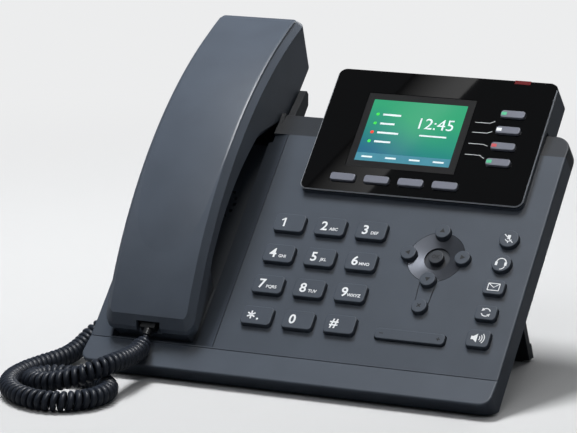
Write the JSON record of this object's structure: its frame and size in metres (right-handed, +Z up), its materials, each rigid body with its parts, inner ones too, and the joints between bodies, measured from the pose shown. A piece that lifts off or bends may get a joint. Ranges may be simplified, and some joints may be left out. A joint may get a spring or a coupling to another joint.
{
  "type": "desk phone",
  "caption": "Sloped desk phone with a handset in a side cradle, a raised colour screen, press keys, a rocker, a fold-out stand and a coiled handset cord.",
  "frame": {"origin": "middle of the footprint on the desk, measured without the cord and its plugs", "axes": "+Z up, -Y towards the user, +X to the user's right"},
  "size_m": [0.2307, 0.2234, 0.1549],
  "materials": {
    "slate_plastic": "satin fine grain",
    "dark_plastic": "satin fine grain",
    "grey_key": "satin",
    "gloss_black": "polished",
    "display": "backlit colour panel in a grey frame",
    "lamp_red": "clear red",
    "silver_plastic": "satin metallic",
    "board": "lacquered",
    "grey_rubber": "matt",
    "black_rubber": "matt",
    "speaker_steel": "plated",
    "jack_black": "moulded",
    "screw_steel": "zinc plated",
    "cord_black": "satin",
    "clear_plug": "clear moulded"
  },
  "bodies": {
    "base": {"top_shell": "slate_plastic", "bottom_shell": "dark_plastic", "screen_housing": "slate_plastic", "screen_panel": "gloss_black", "lcd_module": "display", "message_lamp": "lamp_red", "main_board": "board", "screen_board": "board", "keypad_mat": "grey_rubber", "loudspeaker": "speaker_steel", "network_jacks": "jack_black", "cord_jacks": "jack_black", "power_jack": "jack_black", "front_feet": "black_rubber", "housing_screws": "screw_steel", "hook_switch": "jack_black", "nav_dish": "silver_plastic", "base_plug": "clear_plug", "coiled_cord": "cord_black"},
    "stand": {"stand": "dark_plastic", "stand_feet": "black_rubber"},
    "hook": {"hook_plunger": "dark_plastic"},
    "handset": {"handset_back_shell": "slate_plastic", "handset_front_shell": "slate_plastic", "receiver": "speaker_steel", "handset_microphone": "speaker_steel", "handset_jack": "jack_black", "handset_plug": "clear_plug"},
    "key_1_body": {"key_1": "slate_plastic"},
    "key_2_body": {"key_2": "slate_plastic"},
    "key_3_body": {"key_3": "slate_plastic"},
    "key_4_body": {"key_4": "slate_plastic"},
    "key_5_body": {"key_5": "slate_plastic"},
    "key_6_body": {"key_6": "slate_plastic"},
    "key_7_body": {"key_7": "slate_plastic"},
    "key_8_body": {"key_8": "slate_plastic"},
    "key_9_body": {"key_9": "slate_plastic"},
    "key_star_body": {"key_star": "slate_plastic"},
    "key_0_body": {"key_0": "slate_plastic"},
    "key_hash_body": {"key_hash": "slate_plastic"},
    "up_key_body": {"up_key": "slate_plastic"},
    "down_key_body": {"down_key": "slate_plastic"},
    "left_key_body": {"left_key": "slate_plastic"},
    "right_key_body": {"right_key": "slate_plastic"},
    "ok_key_body": {"ok_key": "dark_plastic"},
    "cancel_key_body": {"cancel_key": "slate_plastic"},
    "mute_key_body": {"mute_key": "slate_plastic"},
    "headset_key_body": {"headset_key": "slate_plastic"},
    "message_key_body": {"message_key": "slate_plastic"},
    "redial_key_body": {"redial_key": "slate_plastic"},
    "speaker_key_body": {"speaker_key": "slate_plastic"},
    "soft_key_1_body": {"soft_key_1": "grey_key"},
    "soft_key_2_body": {"soft_key_2": "grey_key"},
    "soft_key_3_body": {"soft_key_3": "grey_key"},
    "soft_key_4_body": {"soft_key_4": "grey_key"},
    "line_key_1_body": {"line_key_1": "grey_key"},
    "line_key_2_body": {"line_key_2": "grey_key"},
    "line_key_3_body": {"line_key_3": "grey_key"},
    "line_key_4_body": {"line_key_4": "grey_key"},
    "volume_rocker_body": {"volume_rocker": "slate_plastic"}
  },
  "joints": [
    {"name": "handset_lift", "type": "slide", "parent": "base", "child": "handset", "axis": [0, -0.6947, 0.7193], "range_m": [0, 0.06], "deforming": ["coiled_cord"]},
    {"name": "hook_travel", "type": "slide", "parent": "base", "child": "hook", "axis": [0, -0.6947, 0.7193], "range_m": [0, 0.003]},
    {"name": "stand_fold", "type": "hinge", "parent": "base", "child": "stand", "pos_m": [0, 0.00924, 0.044], "axis": [-1, 0, 0], "range_deg": [0, 70]},
    {"name": "key_1_press", "type": "slide", "parent": "base", "child": "key_1_body", "axis": [0, 0.6947, -0.7193], "range_m": [0, 0.0012], "stiffness_N_per_m": 400, "springref_m": -0.0005},
    {"name": "key_2_press", "type": "slide", "parent": "base", "child": "key_2_body", "axis": [0, 0.6947, -0.7193], "range_m": [0, 0.0012], "stiffness_N_per_m": 400, "springref_m": -0.0005},
    {"name": "key_3_press", "type": "slide", "parent": "base", "child": "key_3_body", "axis": [0, 0.6947, -0.7193], "range_m": [0, 0.0012], "stiffness_N_per_m": 400, "springref_m": -0.0005},
    {"name": "key_4_press", "type": "slide", "parent": "base", "child": "key_4_body", "axis": [0, 0.6947, -0.7193], "range_m": [0, 0.0012], "stiffness_N_per_m": 400, "springref_m": -0.0005},
    {"name": "key_5_press", "type": "slide", "parent": "base", "child": "key_5_body", "axis": [0, 0.6947, -0.7193], "range_m": [0, 0.0012], "stiffness_N_per_m": 400, "springref_m": -0.0005},
    {"name": "key_6_press", "type": "slide", "parent": "base", "child": "key_6_body", "axis": [0, 0.6947, -0.7193], "range_m": [0, 0.0012], "stiffness_N_per_m": 400, "springref_m": -0.0005},
    {"name": "key_7_press", "type": "slide", "parent": "base", "child": "key_7_body", "axis": [0, 0.6947, -0.7193], "range_m": [0, 0.0012], "stiffness_N_per_m": 400, "springref_m": -0.0005},
    {"name": "key_8_press", "type": "slide", "parent": "base", "child": "key_8_body", "axis": [0, 0.6947, -0.7193], "range_m": [0, 0.0012], "stiffness_N_per_m": 400, "springref_m": -0.0005},
    {"name": "key_9_press", "type": "slide", "parent": "base", "child": "key_9_body", "axis": [0, 0.6947, -0.7193], "range_m": [0, 0.0012], "stiffness_N_per_m": 400, "springref_m": -0.0005},
    {"name": "key_star_press", "type": "slide", "parent": "base", "child": "key_star_body", "axis": [0, 0.6947, -0.7193], "range_m": [0, 0.0012], "stiffness_N_per_m": 400, "springref_m": -0.0005},
    {"name": "key_0_press", "type": "slide", "parent": "base", "child": "key_0_body", "axis": [0, 0.6947, -0.7193], "range_m": [0, 0.0012], "stiffness_N_per_m": 400, "springref_m": -0.0005},
    {"name": "key_hash_press", "type": "slide", "parent": "base", "child": "key_hash_body", "axis": [0, 0.6947, -0.7193], "range_m": [0, 0.0012], "stiffness_N_per_m": 400, "springref_m": -0.0005},
    {"name": "up_key_press", "type": "slide", "parent": "base", "child": "up_key_body", "axis": [0, 0.6947, -0.7193], "range_m": [0, 0.0012], "stiffness_N_per_m": 400, "springref_m": -0.0005},
    {"name": "down_key_press", "type": "slide", "parent": "base", "child": "down_key_body", "axis": [0, 0.6947, -0.7193], "range_m": [0, 0.0012], "stiffness_N_per_m": 400, "springref_m": -0.0005},
    {"name": "left_key_press", "type": "slide", "parent": "base", "child": "left_key_body", "axis": [0, 0.6947, -0.7193], "range_m": [0, 0.0012], "stiffness_N_per_m": 400, "springref_m": -0.0005},
    {"name": "right_key_press", "type": "slide", "parent": "base", "child": "right_key_body", "axis": [0, 0.6947, -0.7193], "range_m": [0, 0.0012], "stiffness_N_per_m": 400, "springref_m": -0.0005},
    {"name": "ok_key_press", "type": "slide", "parent": "base", "child": "ok_key_body", "axis": [0, 0.6947, -0.7193], "range_m": [0, 0.0012], "stiffness_N_per_m": 400, "springref_m": -0.0005},
    {"name": "cancel_key_press", "type": "slide", "parent": "base", "child": "cancel_key_body", "axis": [0, 0.6947, -0.7193], "range_m": [0, 0.0012], "stiffness_N_per_m": 400, "springref_m": -0.0005},
    {"name": "mute_key_press", "type": "slide", "parent": "base", "child": "mute_key_body", "axis": [0, 0.6947, -0.7193], "range_m": [0, 0.0012], "stiffness_N_per_m": 400, "springref_m": -0.0005},
    {"name": "headset_key_press", "type": "slide", "parent": "base", "child": "headset_key_body", "axis": [0, 0.6947, -0.7193], "range_m": [0, 0.0012], "stiffness_N_per_m": 400, "springref_m": -0.0005},
    {"name": "message_key_press", "type": "slide", "parent": "base", "child": "message_key_body", "axis": [0, 0.6947, -0.7193], "range_m": [0, 0.0012], "stiffness_N_per_m": 400, "springref_m": -0.0005},
    {"name": "redial_key_press", "type": "slide", "parent": "base", "child": "redial_key_body", "axis": [0, 0.6947, -0.7193], "range_m": [0, 0.0012], "stiffness_N_per_m": 400, "springref_m": -0.0005},
    {"name": "speaker_key_press", "type": "slide", "parent": "base", "child": "speaker_key_body", "axis": [0, 0.6947, -0.7193], "range_m": [0, 0.0012], "stiffness_N_per_m": 400, "springref_m": -0.0005},
    {"name": "soft_key_1_press", "type": "slide", "parent": "base", "child": "soft_key_1_body", "axis": [0, 0.6947, -0.7193], "range_m": [0, 0.0008], "stiffness_N_per_m": 400, "springref_m": -0.0005},
    {"name": "soft_key_2_press", "type": "slide", "parent": "base", "child": "soft_key_2_body", "axis": [0, 0.6947, -0.7193], "range_m": [0, 0.0008], "stiffness_N_per_m": 400, "springref_m": -0.0005},
    {"name": "soft_key_3_press", "type": "slide", "parent": "base", "child": "soft_key_3_body", "axis": [0, 0.6947, -0.7193], "range_m": [0, 0.0008], "stiffness_N_per_m": 400, "springref_m": -0.0005},
    {"name": "soft_key_4_press", "type": "slide", "parent": "base", "child": "soft_key_4_body", "axis": [0, 0.6947, -0.7193], "range_m": [0, 0.0008], "stiffness_N_per_m": 400, "springref_m": -0.0005},
    {"name": "line_key_1_press", "type": "slide", "parent": "base", "child": "line_key_1_body", "axis": [0, 0.6947, -0.7193], "range_m": [0, 0.0008], "stiffness_N_per_m": 400, "springref_m": -0.0005},
    {"name": "line_key_2_press", "type": "slide", "parent": "base", "child": "line_key_2_body", "axis": [0, 0.6947, -0.7193], "range_m": [0, 0.0008], "stiffness_N_per_m": 400, "springref_m": -0.0005},
    {"name": "line_key_3_press", "type": "slide", "parent": "base", "child": "line_key_3_body", "axis": [0, 0.6947, -0.7193], "range_m": [0, 0.0008], "stiffness_N_per_m": 400, "springref_m": -0.0005},
    {"name": "line_key_4_press", "type": "slide", "parent": "base", "child": "line_key_4_body", "axis": [0, 0.6947, -0.7193], "range_m": [0, 0.0008], "stiffness_N_per_m": 400, "springref_m": -0.0005},
    {"name": "volume_rock", "type": "hinge", "parent": "base", "child": "volume_rocker_body", "pos_m": [0.0563, -0.04782, 0.02491], "axis": [0, 0.7193, 0.6947], "range_deg": [-2, 2], "stiffness_Nm_per_rad": 0.13}
  ],
  "couplings": [
    {"joint": "hook_travel", "follows": "handset_lift", "ratio": 0.05}
  ]
}
